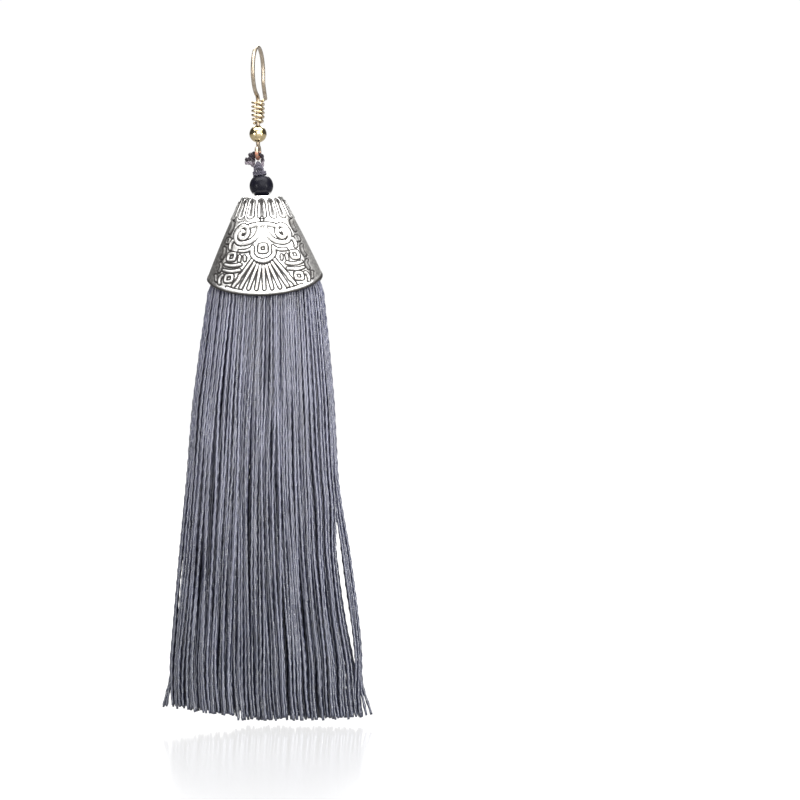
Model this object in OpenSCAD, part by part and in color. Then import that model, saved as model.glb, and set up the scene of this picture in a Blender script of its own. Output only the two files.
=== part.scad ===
// Tassel earring: a gilt ear wire with a coil and a ball, a knotted cord, a round
// bead, a cast oval cap with raised ornament, and a long fringe of cord in locks.
// Lengths are in millimetres. The origin is the underside of the ear wire's arch,
// where the wire rests in the ear lobe. X runs across the front, -Y is the front
// and +Z is up.

/* [Ear wire] */
// Thickness of the ear wire
wire_d = 0.7; // [0.6:0.05:0.8]
// Radius of the arch, to the middle of the wire
arch_r = 4.2; // [3.8:0.1:5]
// How far round the arch goes at the front before the wire turns down
front_turn = 258; // [252:1:262]
// Straight stretch of the back leg under the arch
back_leg = 0.9; // [0.6:0.1:3]
// Radius of the bend that kicks the tail out
tail_bend_r = 2.5; // [1.5:0.1:4]
// Angle of the kicked tail from the vertical
tail_angle = 35; // [20:1:45]
// Straight length of the tail
tail_len = 2.6; // [2:0.1:5]
// Turn of the ear wire about the vertical, seen from above
wire_yaw = 10; // [0:1:20]
// Radius of the eye, to the middle of the wire
eye_r = 1.1; // [1.05:0.05:1.5]
// Radius of the small bend that leads into the eye
eye_bend_r = 0.6; // [0.5:0.05:0.9]

/* [Coil and ball] */
// Thickness of the coil's wire
coil_wire_d = 0.45; // [0.35:0.05:0.5]
// Radius of the coil's upper turns, to the middle of their wire
coil_r = 0.92; // [0.88:0.02:1.2]
// Turns of the coil
coil_turns = 5.5; // [4:0.5:6.5]
// Length of the coil from end to end
coil_len = 4.55; // [4.4:0.1:6]
// Diameter of the ball
ball_d = 3; // [2.4:0.1:3.6]

/* [Hanging cord] */
// Thickness of the hanging cord
cord_d = 0.7; // [0.55:0.05:0.75]
// Thickness of the thinner cord that wraps the neck
wrap_cord_d = 0.5; // [0.4:0.05:0.6]
// Half width of the wrapped neck
wrap_r = 1.2; // [1.1:0.05:1.5]
// Thickness of the cord bundle that runs through the bead
neck_d = 1.3; // [1:0.1:1.5]
// How far the bead hangs to the right of the eye
drop_shift = 0.6; // [0.2:0.1:0.9]

/* [Bead] */
// Diameter of the bead
bead_d = 4.1; // [3.6:0.1:5]

/* [Cap] */
// Width of the cap's top
cap_top_w = 6.9; // [6:0.1:8]
// Width between the cap's lower corners
cap_rim_w = 20; // [17:0.1:23]
// Depth of the cap's top, front to back
cap_top_depth = 5.8; // [5.4:0.1:7]
// Depth of the cap at the height of its corners, front to back
cap_rim_depth = 10.6; // [9.5:0.1:13]
// Height of the cap at its corners
cap_side_h = 14; // [12:0.1:16]
// Height of the cap at the middle of its front
cap_front_h = 17.4; // [16.5:0.1:20]
// How far the cap's flanks bow outwards
cap_belly = 0.2; // [0:0.05:0.5]
// Thickness of the cap's wall
cap_wall = 0.9; // [0.7:0.05:1.1]
// Height of the plain band along the rim
rim_band_h = 0.7; // [0.4:0.1:1.2]
// Lean of the cap towards the right
cap_lean = 2.2; // [0:0.2:4]
// Height of the raised ornament
relief_h = 0.3; // [0.15:0.05:0.4]
// Half width of the raised lines
line_r = 0.34; // [0.25:0.02:0.45]
// Petals round the cap's collar
petal_count = 16; // [12:2:18]
// Rays in the fan on each face
ray_count = 9; // [5:2:11]

/* [Tassel] */
// Length from the cap's top to the longest ends of the fringe
fringe_len = 90.4; // [70:1:110]
// Width of the fringe at its ends
fringe_w = 35.4; // [30:1:42]
// Depth of the fringe at its ends, front to back
fringe_depth = 14.4; // [12:0.5:18]
// Locks round the fringe
lock_count = 28; // [20:2:30]
// Depth of the valleys between locks at the ends
lock_cut = 0.8; // [0.4:0.1:1.6]
// How much shorter the left end of the fringe hangs
left_rise = 1.6; // [0:0.1:4]

/* [Hidden] */

gilt = "#d9bd82";
cord_grey = "#77788a";
bead_black = "#24252b";
old_silver = "#c9c7c2";
fringe_grey = "#6f7183";

// Clearances: between hard pieces, round the cord, and between the cap and the fringe
gap = 0.05;
cord_gap = 0.1;
head_gap = 0.2;

round_fn = 48;

// Overlap that makes one wire of a rod and a bend
join = 0.14;

// Ear wire: levels down the shank. The arch ends at the front, and a reverse bend
// brings the wire to the vertical under the middle of the arch.
wire_r = wire_d / 2;
arch_z = wire_r - arch_r;
front_lean = 270 - front_turn;
front_end = [arch_r * cos(front_turn), arch_z + arch_r * sin(front_turn)];
front_bend_r = -front_end[0] / (1 - sin(front_lean));
shank_z = front_end[1] - front_bend_r * cos(front_lean);

// The coil starts in the reverse bend and ends on the ball
coil_wire_r = coil_wire_d / 2;
coil_rise = 0.5;
coil_low_r = wire_r + gap + coil_wire_r;
coil_taper = 0.3;
coil_steps = 14;
coil_top_z = shank_z + coil_rise;
ball_z = coil_top_z - coil_len - gap - ball_d / 2;

// The eye hangs under the ball, closed but for a small gap at its neck
eye_bend_z = ball_z - ball_d / 2 - gap;
eye_z = eye_bend_z - sqrt(eye_r * eye_r + 2 * eye_bend_r * eye_r);
eye_join = atan2(eye_bend_z - eye_z, eye_bend_r);
eye_open = 40;

// The loop of cord holds the bottom of the eye above and the knot's bight below
cord_r = cord_d / 2;
pivot_z = eye_z - eye_r;
loop_r = max(wire_r, cord_r) + cord_gap + cord_r;
bight_z = pivot_z - wire_r - cord_gap - cord_r;
bight_r = 2 * cord_r + cord_gap;
side_knot_r = 0.6;
side_knot_cord_r = 0.93 * cord_r;
side_knot_x = loop_r + side_knot_r + 0.05;
side_knot_tilt = 12;

// The neck under the bight: two wraps of thin cord seated on the bead
bead_r = bead_d / 2;
wrap_cord_r = wrap_cord_d / 2;
wrap_ring_r = wrap_r - wrap_cord_r;
wrap_drop = 0.64 * wrap_cord_d;
neck_r = neck_d / 2;
wrap_top = loop_r + cord_r + cord_gap + wrap_cord_r;
bead_reach = sqrt(pow(bead_r + wrap_cord_r + gap, 2) - pow(wrap_ring_r, 2));
neck_len = wrap_top + wrap_drop + bead_reach;
neck_lean = asin(drop_shift / neck_len);

// The bead sits in the hole of the cap, and the cap leans about the bead's middle
hole_play = 0.4;
cap_hole_r = neck_r + cord_gap + hole_play;
bead_at = [
    drop_shift * cos(wire_yaw),
    -drop_shift * sin(wire_yaw),
    bight_z - neck_len * cos(neck_lean)
];
bead_seat = sqrt(pow(bead_r, 2) - pow(cap_hole_r, 2)) + gap;

// Cap: an oval cone with squarish flanks, longer at the front and back than at the sides
oval_power = 2.3;
rim_power = 0.7;
cap_sides = 64;
cap_rows = 8;
inner_rows = 3;

// Fringe: share of the hanging length, share of the end width, share of the end depth,
// and the sideways shift as a share of the end width
fringe_rows = [
    [0.03, 0.592, 0.66, -0.002],
    [0.12, 0.637, 0.70, -0.003],
    [0.25, 0.697, 0.76, -0.003],
    [0.43, 0.747, 0.82, -0.001],
    [0.62, 0.833, 0.88, 0.009],
    [0.81, 0.920, 0.94, 0.020],
    [0.93, 0.966, 0.98, 0.022],
    [1.00, 1.000, 1.00, 0.034],
];
lock_shape = [0, 0.75, 1, 0.75];
hollow_share = 0.3;
hollow_rise = 6;
tip_rise = 1.2;
tip_vary = 0.6;

// Signed power, which squares off an oval
function signed_pow(v, power) = sign(v) * pow(abs(v), power);

// Point of a squarish oval of unit size at an angle
function oval(angle) = [
    signed_pow(cos(angle), 2 / oval_power),
    signed_pow(sin(angle), 2 / oval_power)
];

// Half width and half depth of the cap at a distance below its top
function cap_swell(d) = 4 * cap_belly * d * (cap_side_h - d) / pow(cap_side_h, 2);
function cap_half_w(d) = (cap_top_w + (cap_rim_w - cap_top_w) * d / cap_side_h) / 2 + cap_swell(d);
function cap_half_d(d) =
    (cap_top_depth + (cap_rim_depth - cap_top_depth) * d / cap_side_h) / 2 + cap_swell(d);

// Height of the cap at a share of its half width: a fan-shaped lower edge
function rim_depth(u) = cap_side_h + (cap_front_h - cap_side_h) * pow(max(0, 1 - u * u), rim_power);

// One ring of the cap: inset from the outer face, at a share of each column's height
function cap_ring(share, inset, lift) = [
    for (k = [0:cap_sides - 1])
        let (o = oval(360 * k / cap_sides), d = lift + share * (rim_depth(o[0]) - lift))
            [(cap_half_w(d) - inset) * o[0], (cap_half_d(d) - inset) * o[1], -d]
];

// One ring just above the rim, proud of the outer face
function band_ring(height, proud) = [
    for (k = [0:cap_sides - 1])
        let (o = oval(360 * k / cap_sides), d = rim_depth(o[0]) - height)
            [(cap_half_w(d) + proud) * o[0], (cap_half_d(d) + proud) * o[1], -d]
];

// The edge of the hole in the cap's top
function hole_ring(d) = [
    for (k = [0:cap_sides - 1])
        let (a = 360 * k / cap_sides) [cap_hole_r * cos(a), cap_hole_r * sin(a), -d]
];

// Faces of a skin over rings of points, closed into a loop or with flat ends
function skin_faces(rings, sides, closed) = [
    for (i = [0:rings - (closed ? 1 : 2)], k = [0:sides - 1])
        let (
            j = (i + 1) % rings,
            m = (k + 1) % sides,
            a = i * sides + k,
            b = j * sides + k,
            c = j * sides + m,
            d = i * sides + m
        )
            each [[a, b, c], [a, c, d]],
    if (!closed)
        for (k = [1:sides - 2])
            let (e = (rings - 1) * sides) each [[0, k, k + 1], [e, e + k + 1, e + k]]
];

module skin(rings, closed = false) {
    polyhedron(
        points = [for (ring = rings) each ring],
        faces = skin_faces(len(rings), len(rings[0]), closed)
    );
}

// Direction of a path at one of its points
function heading(path, i, closed) =
    let (
        n = len(path),
        a = closed ? path[(i + n - 1) % n] : path[max(0, i - 1)],
        b = closed ? path[(i + 1) % n] : path[min(n - 1, i + 1)]
    )
        (b - a) / norm(b - a);

// Ring of points round a path, square to its heading, with the first point along up
function tube_ring(p, along, up, r, sides) =
    let (side = cross(along, up) / norm(cross(along, up)), top = cross(side, along))
        [for (k = [0:sides - 1]) p + r * (cos(360 * k / sides) * top + sin(360 * k / sides) * side)];

// Point and outward direction on the cap's front: u is a share of the half width
// there, v a share of the front's height
function face_point(u, v) =
    let (d = v * cap_front_h)
        [
            u * cap_half_w(d),
            -cap_half_d(d) * pow(max(0, 1 - pow(abs(u), oval_power)), 1 / oval_power),
            -d
        ];
function face_up(u, v) =
    let (
        e = 0.005,
        across = face_point(u + e, v) - face_point(u - e, v),
        down = face_point(u, v + e) - face_point(u, v - e),
        n = cross(down, across)
    )
        n / norm(n);

// A raised line on the cap's front, thinner at its open ends
module raised_line(path, r = line_r, closed = false) {
    sides = 5;
    spots = [for (q = path) face_point(q[0], q[1]) + (relief_h - r) * face_up(q[0], q[1])];
    last = len(path) - 1;
    skin([
        for (i = [0:last])
            tube_ring(
                spots[i],
                heading(spots, i, closed),
                face_up(path[i][0], path[i][1]),
                !closed && (i == 0 || i == last) ? 0.6 * r : r,
                sides
            )
    ], closed);
}

// Part of an oval on the cap's front, from one angle to another, growing if asked
function swirl(at, size, from, to, steps, start = 1) = [
    for (i = [0:steps])
        let (s = i / steps, a = from + (to - from) * s, g = start + (1 - start) * s)
            [at[0] + g * size[0] * cos(a), at[1] + g * size[1] * sin(a)]
];

// Bow through three points
function bow(a, b, c, steps) = [
    for (i = [1:steps])
        let (s = i / steps) (1 - s) * (1 - s) * a + 2 * s * (1 - s) * b + s * s * c
];

// Half of the ornament on one face: the spiral with its stem, two curls and two bars
module half_ornament() {
    spiral_at = [-0.5, 0.374];
    spiral_size = [0.2, 0.1];
    foot = [spiral_at[0], spiral_at[1] + spiral_size[1]];
    raised_line(concat(
        swirl(spiral_at, spiral_size, 90 + 560, 90, 20, 0.2),
        bow(foot, [-0.16, foot[1] + 0.005], [-0.09, 0.33], 5)
    ));
    raised_line(swirl([-0.64, 0.60], [0.075, 0.036], 0, 324, 9), 0.8 * line_r, true);
    raised_line(swirl([-0.62, 0.81], [0.07, 0.04], 0, 324, 9), 0.8 * line_r, true);
    for (v = [0.68, 0.735])
        raised_line([[-0.44, v], [-0.58, v + 0.012], [-0.72, v - 0.006]], 0.8 * line_r);
    raised_line([for (v = [0.28:0.11:0.84]) [-0.83 + 0.02 * v, v]], 0.8 * line_r);
}

// The ornament of one face: brow, ring, bowl and fan of rays between two halves
module face_ornament() {
    half_ornament();
    mirror([1, 0, 0]) half_ornament();
    raised_line([[-0.34, 0.305], [-0.17, 0.29], [0, 0.285], [0.17, 0.29], [0.34, 0.305]]);
    raised_line(swirl([0, 0.53], [0.085, 0.038], 0, 324, 9), line_r, true);
    raised_line(swirl([0, 0.548], [0.235, 0.105], 192, -12, 10));
    for (k = [0:ray_count - 1]) {
        s = 2 * k / (ray_count - 1) - 1;
        foot_u = 0.5 * s;
        foot_v = (rim_depth(foot_u) - 1.8 * rim_band_h) / cap_front_h;
        head = [0.22 * s, 0.705 - 0.06 * s * s];
        raised_line([head, (head + [foot_u, foot_v]) / 2, [foot_u, foot_v]], 0.85 * line_r);
    }
}

// One tongue-shaped petal of the collar, sunk so that it stands a little proud
module petal(angle) {
    top_r = 0.38;
    foot_r = 0.58;
    hull() for (end = [[0.075, top_r], [0.2, foot_r]]) {
        d = end[0] * cap_front_h;
        o = oval(angle);
        out = [o[0] / cap_half_w(d), o[1] / cap_half_d(d)];
        side = out / norm(out);
        sunk = end[1] - 0.7 * relief_h;
        translate([
            cap_half_w(d) * o[0] - sunk * side[0],
            cap_half_d(d) * o[1] - sunk * side[1],
            -d
        ]) sphere(r = end[1], $fn = 10);
    }
}

// The wire's own plane: the first axis runs front to back, the second one up
module wire_plane() {
    rotate([0, 0, 90 - wire_yaw]) rotate([90, 0, 0]) children();
}

// The plane square to it: the first axis runs left to right, the second one up
module cross_plane() {
    rotate([0, 0, -wire_yaw]) rotate([90, 0, 0]) children();
}

// Arc of round wire or cord in a plane, from one angle through a sweep
module arc_rod(at, radius, from, sweep, r) {
    translate(at) rotate([0, 0, from])
        rotate_extrude(angle = sweep, $fn = round_fn)
            translate([radius, 0]) circle(r, $fn = round_fn);
}

// Straight rod in a plane, from a point, along an angle
module rod(at, angle, length, r) {
    translate(at) rotate([0, 0, angle]) rotate([0, 90, 0]) cylinder(r = r, h = length, $fn = round_fn);
}

module ear_hook() {
    bend_at = [arch_r + tail_bend_r, arch_z - back_leg];
    tail_at = bend_at + tail_bend_r * [-cos(tail_angle), -sin(tail_angle)];
    color(gilt) wire_plane() {
        arc_rod([0, arch_z], arch_r, 0, front_turn, wire_r);
        arc_rod([-front_bend_r, shank_z], front_bend_r, 0, 90 - front_lean, wire_r);
        rod([0, shank_z], -90, shank_z - eye_bend_z + join, wire_r);
        arc_rod([eye_bend_r, eye_bend_z], eye_bend_r, 180, eye_join, wire_r);
        arc_rod([0, eye_z], eye_r, 90 + eye_open, 270 - eye_open + eye_join, wire_r);
        rod([arch_r, arch_z], -90, back_leg, wire_r);
        arc_rod(bend_at, tail_bend_r, 180, tail_angle, wire_r);
        rod(tail_at, tail_angle - 90, tail_len, wire_r);
    }
}

module hook_coil() {
    steps = ceil(coil_turns * coil_steps);
    rise = coil_len - coil_wire_d;
    axis_path = [for (i = [0:steps]) [0, 0, coil_top_z - coil_wire_r - rise * i / steps]];
    function turn_r(s) = coil_r - (coil_r - coil_low_r) * max(0, (s - 1 + coil_taper) / coil_taper);
    path = [
        for (i = [0:steps])
            let (a = 360 * coil_turns * i / steps, r = turn_r(i / steps))
                axis_path[i] + [r * cos(a), r * sin(a), 0]
    ];
    color(gilt) skin([
        for (i = [0:steps])
            tube_ring(path[i], heading(path, i, false), path[i] - axis_path[i], coil_wire_r, 6)
    ]);
}

module hook_ball() {
    color(gilt) translate([0, 0, ball_z]) difference() {
        sphere(d = ball_d, $fn = 64);
        cylinder(r = wire_r + gap, h = 2 * ball_d, center = true, $fn = round_fn);
    }
}

module cord_loop() {
    span = pivot_z - bight_z;
    color(cord_grey) cross_plane() {
        arc_rod([0, pivot_z], loop_r, 0, 180, cord_r);
        arc_rod([0, bight_z], loop_r, 180, 180, cord_r);
        for (x = [-loop_r, loop_r]) rod([x, pivot_z], -90, span, cord_r);
        for (side = [-1, 1])
            translate([-side_knot_x, (pivot_z + bight_z) / 2 + side * cord_r, 0])
                rotate([90 + side_knot_tilt, 0, 0])
                    arc_rod([0, 0], side_knot_r, 0, 360, side_knot_cord_r);
    }
}

module cord_knot() {
    color(cord_grey) cross_plane() translate([0, bight_z, 0]) rotate([0, 0, neck_lean]) {
        rotate([0, 90, 0]) arc_rod([0, -bight_r], bight_r, 0, 180, cord_r);
        for (back = [-1, 1])
            translate([0, 0, back * bight_r]) rod([0, -bight_r], -90, wrap_top - bight_r + wrap_drop, cord_r);
        for (down = [0, wrap_drop])
            translate([0, -wrap_top - down, 0]) rotate([90, 0, 0]) arc_rod([0, 0], wrap_ring_r, 0, 360, wrap_cord_r);
        rod([0, -wrap_top], -90, wrap_drop, wrap_ring_r);
        rod([0, -wrap_top], -90, neck_len - wrap_top + bead_seat + cap_wall, neck_r);
    }
}

module bead() {
    color(bead_black) translate(bead_at) difference() {
        sphere(r = bead_r, $fn = 64);
        rotate([0, 0, -wire_yaw]) rotate([0, -neck_lean, 0])
            cylinder(r = neck_r + cord_gap, h = 2 * bead_d, center = true, $fn = round_fn);
    }
}

// The cap's own frame: its top at zero, leaning about the middle of the bead
module cap_frame() {
    translate(bead_at) rotate([0, -cap_lean, 0]) translate([0, 0, -bead_seat]) children();
}

module cap() {
    inner = [for (i = [0:inner_rows]) cap_ring(i / inner_rows, cap_wall, cap_wall)];
    outer = [for (i = [cap_rows:-1:0]) cap_ring(0.94 * i / cap_rows, 0, 0)];
    band = [band_ring(0, relief_h), band_ring(0.8 * rim_band_h, relief_h), band_ring(rim_band_h, 0)];
    color(old_silver) cap_frame() {
        skin(concat([hole_ring(cap_wall)], inner, band, outer, [hole_ring(0)]), true);
        face_ornament();
        mirror([0, 1, 0]) face_ornament();
        for (k = [0:petal_count - 1]) {
            t = 90 + 360 * k / petal_count;
            petal(t + 5 * sin(2 * t));
        }
    }
}

// One ring of the fringe at a distance below the cap's top. The locks are cut in by
// a depth, and lifts raise the ends of single columns.
function fringe_ring(d, half, shift, cut, lean, lifts) = [
    for (k = [0:4 * lock_count - 1])
        let (
            t = 360 * (k - 2) / (4 * lock_count),
            o = oval(t + 9 * sin(2 * t)),
            valley = cut * (1 - lock_shape[k % 4]),
            x = shift + (half[0] - valley) * o[0],
            h = bead_seat + d - lifts * column_lift(k, o[0])
        )
            bead_at + [
                x * cos(lean) + h * sin(lean),
                (half[1] - valley) * o[1],
                x * sin(lean) - h * cos(lean)
            ]
];

// How far a column ends above the longest one: valleys, uneven locks and the short left side
function column_lift(k, u) =
    tip_rise * (1 - lock_shape[k % 4])
    + tip_vary * (0.5 + 0.5 * sin(137.5 * floor(k / 4)))
    + left_rise * max(0, -u);

module tassel() {
    function inside(d) = [cap_half_w(d), cap_half_d(d)] - (cap_wall + head_gap) * [1, 1];
    hang = fringe_len - cap_front_h;
    end = [fringe_w, fringe_depth] / 2;
    last = len(fringe_rows) - 1;
    head_d = cap_wall + cord_gap;
    under_d = (cap_side_h + cap_front_h) / 2;
    head_rows = [
        for (s = [1, 0.66, 0.33, 0])
            let (d = head_d + s * (cap_side_h - head_d)) fringe_ring(d, inside(d), 0, 0, cap_lean, 0)
    ];
    rim_rows = [
        for (row = [[cap_front_h, 1.1], [under_d, 0.6]])
            let (half_w = inside(cap_side_h)[0] + row[1] * cap_wall)
                fringe_ring(row[0], [half_w, inside(row[0])[1]], 0, 0, cap_lean, 0)
    ];
    hanging = [
        for (i = [last:-1:0])
            let (
                row = fringe_rows[i],
                s = row[0],
                half = [row[1] * end[0], row[2] * end[1]],
                lean = cap_lean * pow(1 - s, 4),
                cut = lock_cut * (0.3 + 0.7 * s)
            )
                fringe_ring(cap_front_h + s * hang, half, row[3] * fringe_w, cut, lean, i == last ? 1 : 0)
    ];
    hollow = fringe_ring(fringe_len - hollow_rise, hollow_share * end, fringe_rows[last][3] * fringe_w, 0, 0, 0);
    color(fringe_grey) skin(concat([hollow], hanging, rim_rows, head_rows));
}

ear_hook();
hook_coil();
hook_ball();
cord_loop();
cord_knot();
bead();
cap();
tassel();
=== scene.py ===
"""Tassel earring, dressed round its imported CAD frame.

The pieces follow the earring from the ear down: ear wire, coil, ball, hanging loop, knot,
bead, cap and fringe. Lengths are worked out in millimetres, in the CAD's own frame, and
turned into metres when a mesh is made.
"""

import bpy
import numpy as np
from mathutils import Euler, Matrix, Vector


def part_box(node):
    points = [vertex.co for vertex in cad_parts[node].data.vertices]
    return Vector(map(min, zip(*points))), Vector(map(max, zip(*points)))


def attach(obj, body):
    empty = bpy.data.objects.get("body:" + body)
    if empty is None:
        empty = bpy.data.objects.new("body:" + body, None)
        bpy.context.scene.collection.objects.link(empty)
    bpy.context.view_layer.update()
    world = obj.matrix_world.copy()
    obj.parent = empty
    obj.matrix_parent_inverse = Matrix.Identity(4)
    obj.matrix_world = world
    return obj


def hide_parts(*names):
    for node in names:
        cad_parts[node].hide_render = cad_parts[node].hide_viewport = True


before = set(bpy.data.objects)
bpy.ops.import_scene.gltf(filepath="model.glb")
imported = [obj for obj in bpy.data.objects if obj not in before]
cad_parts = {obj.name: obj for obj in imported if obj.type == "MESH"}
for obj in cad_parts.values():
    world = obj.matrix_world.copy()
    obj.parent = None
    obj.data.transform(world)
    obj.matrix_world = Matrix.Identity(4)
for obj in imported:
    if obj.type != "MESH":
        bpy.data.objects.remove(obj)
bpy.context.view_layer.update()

MM = 0.001

# Studio: a wide, white, slightly glossy floor just under the fringe, lit from within, and a
# white room, dimmer at its sides. Soft lights stand in front, above, behind and on either
# hand, and the camera stands level and far away, with the earring left of its middle.
PX_PER_MM = 5.8
PHOTO_SIDE = 800
PHOTO_WIRE_X = 258.0
PHOTO_WIRE_Y = 45.0
WIRE_TOP = 0.7
CAMERA_AWAY = 600.0
SENSOR = 36.0
FLOOR_Z = -116.2
FLOOR_HALF = 3000.0
FLOOR_GLOW = 0.72
HAZE_FROM, HAZE_TO = 0.0, -170.0
ROOM_LIGHT = 0.72
ROOM_IN_SIGHT = 1.02
SIDES_DIMMED = 0.6
WHITE = (1.0, 1.0, 1.0, 1.0)

camera_x = (PHOTO_SIDE / 2 - PHOTO_WIRE_X) / PX_PER_MM
camera_z = WIRE_TOP - (PHOTO_SIDE / 2 - PHOTO_WIRE_Y) / PX_PER_MM
camera = bpy.data.objects.new("camera", bpy.data.cameras.new("camera"))
camera.data.sensor_width = SENSOR
camera.data.lens = SENSOR * CAMERA_AWAY * PX_PER_MM / PHOTO_SIDE
camera.data.clip_start = 0.01
camera.data.clip_end = 20.0
camera.location = (camera_x * MM, -CAMERA_AWAY * MM, camera_z * MM)
camera.rotation_euler = Euler((np.pi / 2, 0.0, 0.0))
bpy.context.collection.objects.link(camera)
bpy.context.scene.camera = camera
bpy.context.scene.view_settings.view_transform = "Standard"


class Sock:
    """An output socket of a node tree. Sums and products of sockets and numbers add Math
    nodes, and make() adds any other node beside it."""

    def __init__(self, tree, out=None):
        self.tree = tree
        self.out = out

    def make(self, kind, settings, sockets, out=0):
        """A new node: its settings first, then the value or the link of each socket."""
        node = self.tree.nodes.new(kind)
        for key, value in settings.items():
            setattr(node, key, value)
        for key, value in sockets.items():
            if isinstance(value, Sock):
                self.tree.links.new(value.out, node.inputs[key])
            else:
                node.inputs[key].default_value = value
        return Sock(self.tree, node.outputs[out] if node.outputs else None)

    def maths(self, operation, *terms):
        """A Math node over the terms, in their order."""
        return self.make("ShaderNodeMath", {"operation": operation}, dict(enumerate(terms)))

    def __add__(self, other):
        return self.maths("ADD", self, other)

    def __sub__(self, other):
        return self.maths("SUBTRACT", self, other)

    def __rsub__(self, other):
        return self.maths("SUBTRACT", other, self)

    def __mul__(self, other):
        return self.maths("MULTIPLY", self, other)

    __radd__ = __add__
    __rmul__ = __mul__

    def within(self, low, high):
        """Smooth step of this value from 0 at low to 1 at high."""
        settings = {"interpolation_type": "SMOOTHSTEP"}
        return self.make("ShaderNodeMapRange", settings, {0: self, 1: low, 2: high})

    def tint(self, below, above):
        """Colour that goes from below to above as this value goes from 0 to 1."""
        settings = {"data_type": "RGBA", "clamp_factor": True}
        return self.make("ShaderNodeMix", settings, {0: self, 6: below, 7: above}, 2)

    def split(self, axis):
        """The X, Y or Z of this vector."""
        return self.make("ShaderNodeSeparateXYZ", {}, {0: self}, axis)

    def stretched(self, x, y, z):
        """This vector with its three parts multiplied."""
        return self.make("ShaderNodeVectorMath", {"operation": "MULTIPLY"}, {0: self, 1: (x, y, z)})

    def grain(self, scale, detail=3.0):
        """Noise over this vector, about 0 to 1."""
        sockets = {"Vector": self, "Scale": scale, "Detail": detail, "Roughness": 0.55}
        return self.make("ShaderNodeTexNoise", {}, sockets)

    def bump(self, height_mm, strength):
        """Normals of this value taken as a height of so many millimetres."""
        sockets = {"Height": self, "Strength": strength, "Distance": height_mm * MM}
        return self.make("ShaderNodeBump", {}, sockets)


def open_material(name):
    """An empty material, with a socket of Object coordinates turned into millimetres."""
    material = bpy.data.materials.new(name)
    material.use_nodes = True
    material.node_tree.nodes.clear()
    start = Sock(material.node_tree)
    place = start.make("ShaderNodeTexCoord", {}, {}, "Object")
    return material, place.stretched(1 / MM, 1 / MM, 1 / MM)


def close_material(material, **sockets):
    """One Principled shader with these sockets, named with spaces as underscores."""
    start = Sock(material.node_tree)
    named = {key.replace("_", " "): value for key, value in sockets.items()}
    shader = start.make("ShaderNodeBsdfPrincipled", {}, named)
    start.make("ShaderNodeOutputMaterial", {}, {"Surface": shader})
    return material


def new_piece(name, points, quads, fans, finish, uv=None, **marks):
    """Smooth mesh object at the origin from millimetre points, rows of four corners and rows
    of three. uv holds one pair for each corner of the quads, then of the fans, and marks one
    number for each point, for the material to read by name."""
    mesh = bpy.data.meshes.new(name)
    corners = np.concatenate([quads.ravel(), fans.ravel()]).astype(np.int32)
    sizes = np.concatenate([np.full(len(quads), 4), np.full(len(fans), 3)])
    mesh.vertices.add(len(points))
    mesh.vertices.foreach_set("co", (points * MM).astype(np.float32).ravel())
    mesh.loops.add(len(corners))
    mesh.loops.foreach_set("vertex_index", corners)
    mesh.polygons.add(len(sizes))
    mesh.polygons.foreach_set("loop_start", (np.cumsum(sizes) - sizes).astype(np.int32))
    mesh.polygons.foreach_set("use_smooth", np.ones(len(sizes), bool))
    if uv is not None:
        layer = mesh.uv_layers.new(name="UVMap")
        layer.data.foreach_set("uv", uv.astype(np.float32).ravel())
    for mark, numbers in marks.items():
        layer = mesh.attributes.new(mark, "FLOAT", "POINT")
        layer.data.foreach_set("value", numbers.astype(np.float32))
    mesh.update(calc_edges=True)
    mesh.materials.append(finish)
    piece = bpy.data.objects.new(name, mesh)
    bpy.context.collection.objects.link(piece)
    return piece


no_fans = np.zeros((0, 3), int)
floor_corners = np.array([[-1.0, -1.0], [1.0, -1.0], [1.0, 1.0], [-1.0, 1.0]]) * FLOOR_HALF
floor_points = np.column_stack([floor_corners, np.full(4, FLOOR_Z)])
white_sheet, sheet_mm = open_material("white_studio_floor")
sheet_grain = sheet_mm.grain(0.02).tint((0.05, 0.05, 0.052, 1.0), (0.06, 0.06, 0.06, 1.0))
sheet_haze = sheet_mm.split(1).within(HAZE_FROM, HAZE_TO)
close_material(
    white_sheet, Base_Color=sheet_grain, Roughness=sheet_haze * 0.27 + 0.07, Specular_IOR_Level=0.3,
    Emission_Color=WHITE, Emission_Strength=FLOOR_GLOW)
new_piece("studio_floor", floor_points, np.array([[0, 1, 2, 3]]), no_fans, white_sheet)

room = bpy.data.worlds.new("white_room")
room.use_nodes = True
room.node_tree.nodes.clear()
room_air = Sock(room.node_tree)
sideways = room_air.make("ShaderNodeTexCoord", {}, {}, "Generated").split(0)
dim_sides = sideways.maths("ABSOLUTE", sideways).within(0.2, 0.76)
in_sight = room_air.make("ShaderNodeLightPath", {}, {}, "Is Camera Ray")
room_glow = ROOM_LIGHT - dim_sides * SIDES_DIMMED
room_glow = room_glow + in_sight * (ROOM_IN_SIGHT - room_glow)
room_light = room_air.make("ShaderNodeBackground", {}, {"Color": WHITE, "Strength": room_glow})
room_air.make("ShaderNodeOutputWorld", {}, {"Surface": room_light})
bpy.context.scene.world = room


def soft_light(name, at, turn, width, height, watts):
    """A rectangular soft light at a place in millimetres, turned by two angles in degrees."""
    lamp = bpy.data.lights.new(name, "AREA")
    lamp.shape = "RECTANGLE"
    lamp.size = width * MM
    lamp.size_y = height * MM
    lamp.energy = watts
    light = bpy.data.objects.new(name, lamp)
    light.location = [v * MM for v in at]
    light.rotation_euler = Euler((np.radians(turn[0]), 0.0, np.radians(turn[1])))
    bpy.context.collection.objects.link(light)


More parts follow.
